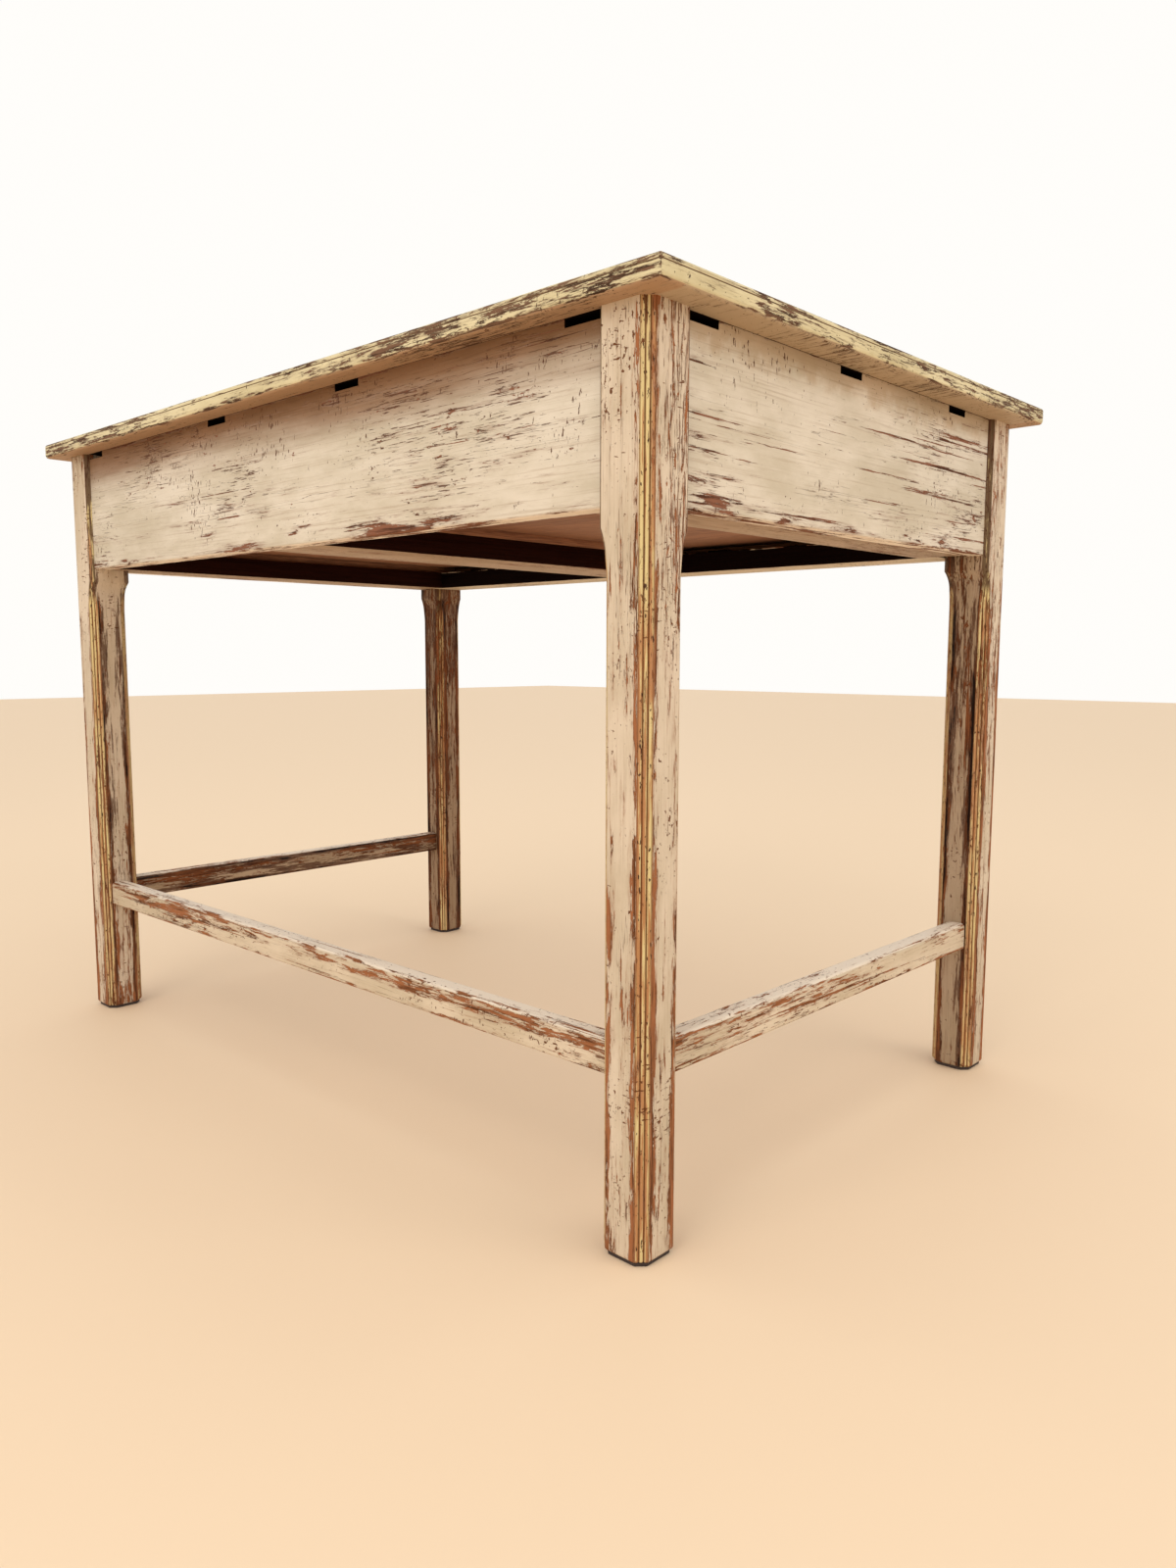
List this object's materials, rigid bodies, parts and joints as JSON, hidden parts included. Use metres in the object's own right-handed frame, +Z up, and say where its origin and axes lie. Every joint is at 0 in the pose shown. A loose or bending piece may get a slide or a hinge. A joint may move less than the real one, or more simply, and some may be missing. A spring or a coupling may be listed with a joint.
{
  "type": "writing table",
  "caption": "Distressed cream painted wooden table with deep aprons, reeded square legs, low stretchers on three sides and side by side front drawers.",
  "frame": {"origin": "on the floor, at the centre of the table's box", "axes": "+X along the long side, +Y away from the user towards the closed back apron, +Z up; drawers open towards -Y"},
  "size_m": [1.06, 0.676, 0.762],
  "materials": {
    "cream_paint": "cream paint over brown wood, rubbed through along the edges and in streaks along the grain",
    "top_paint": "cream paint with a yellow cast, rubbed through at the edges",
    "knob_paint": "cream painted turned wood, rubbed bare on the crown",
    "bare_wood": "unpainted brown wood, matt and dry",
    "dark_stained_wood": "dark brown stained wood, matt",
    "screw_steel": "dull zinc plated steel",
    "bracket_steel": "dull pressed steel",
    "foot_pad": "dark brown pad, matt"
  },
  "bodies": {
    "root": {"back_apron": "cream_paint", "back_left_glide": "foot_pad", "back_left_leg": "cream_paint", "back_right_glide": "foot_pad", "back_right_leg": "cream_paint", "back_stretcher": "cream_paint", "centre_guide": "dark_stained_wood", "centre_kicker": "dark_stained_wood", "centre_runner": "dark_stained_wood", "drawer_divider": "cream_paint", "drawer_stops": "dark_stained_wood", "front_bottom_rail": "cream_paint", "front_left_glide": "foot_pad", "front_left_leg": "cream_paint", "front_right_glide": "foot_pad", "front_right_leg": "cream_paint", "front_top_rail": "cream_paint", "kicker_screws": "screw_steel", "left_end_apron": "cream_paint", "left_guide": "dark_stained_wood", "left_kicker": "dark_stained_wood", "left_runner": "dark_stained_wood", "left_stretcher": "cream_paint", "right_end_apron": "cream_paint", "right_guide": "dark_stained_wood", "right_kicker": "dark_stained_wood", "right_runner": "dark_stained_wood", "right_stretcher": "cream_paint", "top_board": "top_paint", "top_bracket_screws": "screw_steel", "top_brackets": "bracket_steel"},
    "left_drawer": {"left_drawer_back": "bare_wood", "left_drawer_bottom": "bare_wood", "left_drawer_bottom_screws": "screw_steel", "left_drawer_front": "cream_paint", "left_drawer_knob": "knob_paint", "left_drawer_left_side": "bare_wood", "left_drawer_right_side": "bare_wood", "left_knob_screw": "screw_steel"},
    "right_drawer": {"right_drawer_back": "bare_wood", "right_drawer_bottom": "bare_wood", "right_drawer_bottom_screws": "screw_steel", "right_drawer_front": "cream_paint", "right_drawer_knob": "knob_paint", "right_drawer_left_side": "bare_wood", "right_drawer_right_side": "bare_wood", "right_knob_screw": "screw_steel"}
  },
  "joints": [
    {"name": "left_drawer_slide", "type": "slide", "parent": "root", "child": "left_drawer", "axis": [0, -1, 0], "range_m": [0, 0.4]},
    {"name": "right_drawer_slide", "type": "slide", "parent": "root", "child": "right_drawer", "axis": [0, -1, 0], "range_m": [0, 0.4]}
  ]
}
